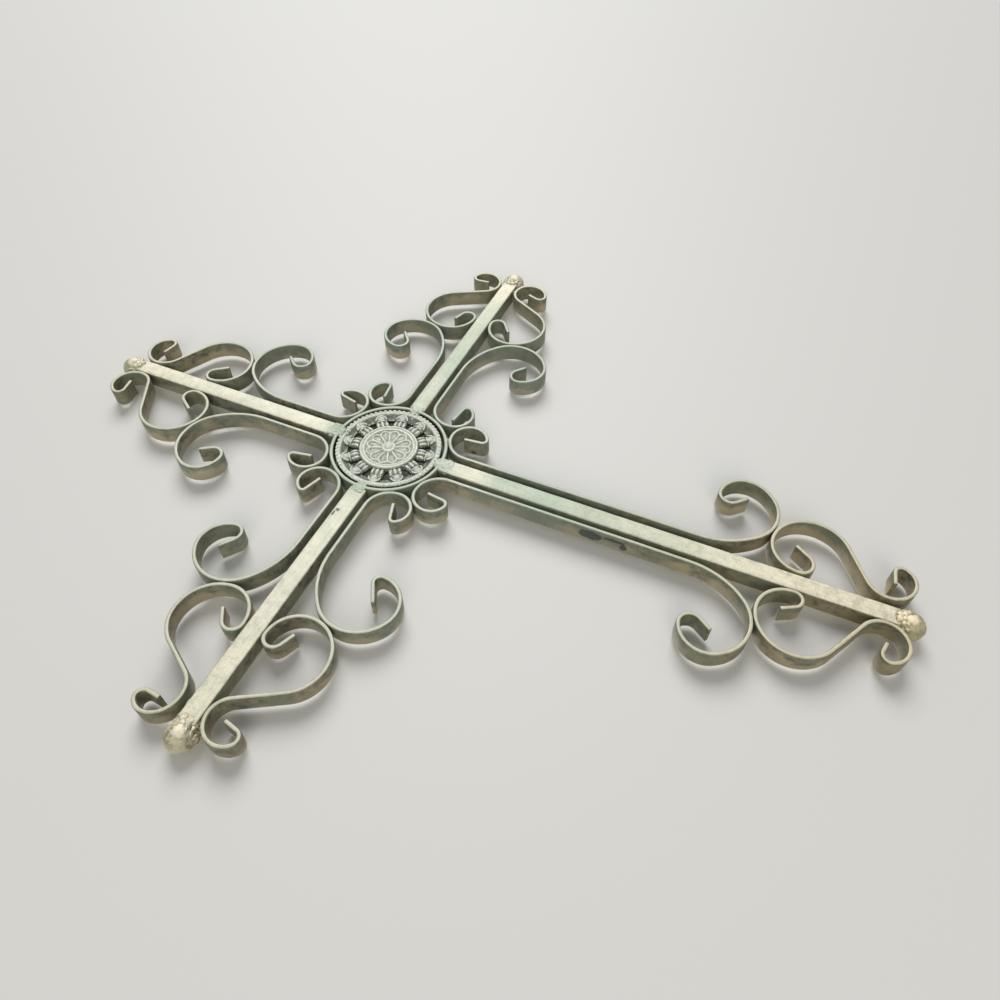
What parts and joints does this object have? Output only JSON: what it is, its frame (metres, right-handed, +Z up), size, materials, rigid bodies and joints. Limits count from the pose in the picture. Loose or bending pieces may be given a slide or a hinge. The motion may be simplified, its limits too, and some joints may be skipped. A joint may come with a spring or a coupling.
{
  "type": "wrought iron wall cross",
  "caption": "Wall cross of square iron bars with ball ends, framed by flat-bar scrolls, around a hooped pierced rosette.",
  "frame": {"origin": "on the back edge of the hoop, at its top and in the middle of its thickness", "axes": "+Z up along the head arm, +Y towards the wall, -Y towards the viewer, +X to the viewer's right"},
  "size_m": [0.4618, 0.0174, 0.5814],
  "materials": {
    "bar_iron": "aged paint over iron, grey green, rubbed to cream along the edges",
    "scroll_iron": "aged paint over flat iron bar, grey green sides and pale rubbed front edges",
    "rosette_iron": "cast relief, dark in the hollows and rubbed pale on the high parts",
    "ball_iron": "rough forged ball, grey green with tan rub"
  },
  "bodies": {
    "root": {"hoop": "scroll_iron", "rosette": "rosette_iron", "bar_head": "bar_iron", "ball_head": "ball_iron", "long_scroll_head_left": "scroll_iron", "end_scroll_head_left": "scroll_iron", "long_scroll_head_right": "scroll_iron", "end_scroll_head_right": "scroll_iron", "bar_right": "bar_iron", "ball_right": "ball_iron", "long_scroll_right_upper": "scroll_iron", "end_scroll_right_upper": "scroll_iron", "long_scroll_right_lower": "scroll_iron", "end_scroll_right_lower": "scroll_iron", "bar_foot": "bar_iron", "ball_foot": "ball_iron", "long_scroll_foot_right": "scroll_iron", "end_scroll_foot_right": "scroll_iron", "long_scroll_foot_left": "scroll_iron", "end_scroll_foot_left": "scroll_iron", "bar_left": "bar_iron", "ball_left": "ball_iron", "long_scroll_left_lower": "scroll_iron", "end_scroll_left_lower": "scroll_iron", "long_scroll_left_upper": "scroll_iron", "end_scroll_left_upper": "scroll_iron"}
  },
  "joints": []
}
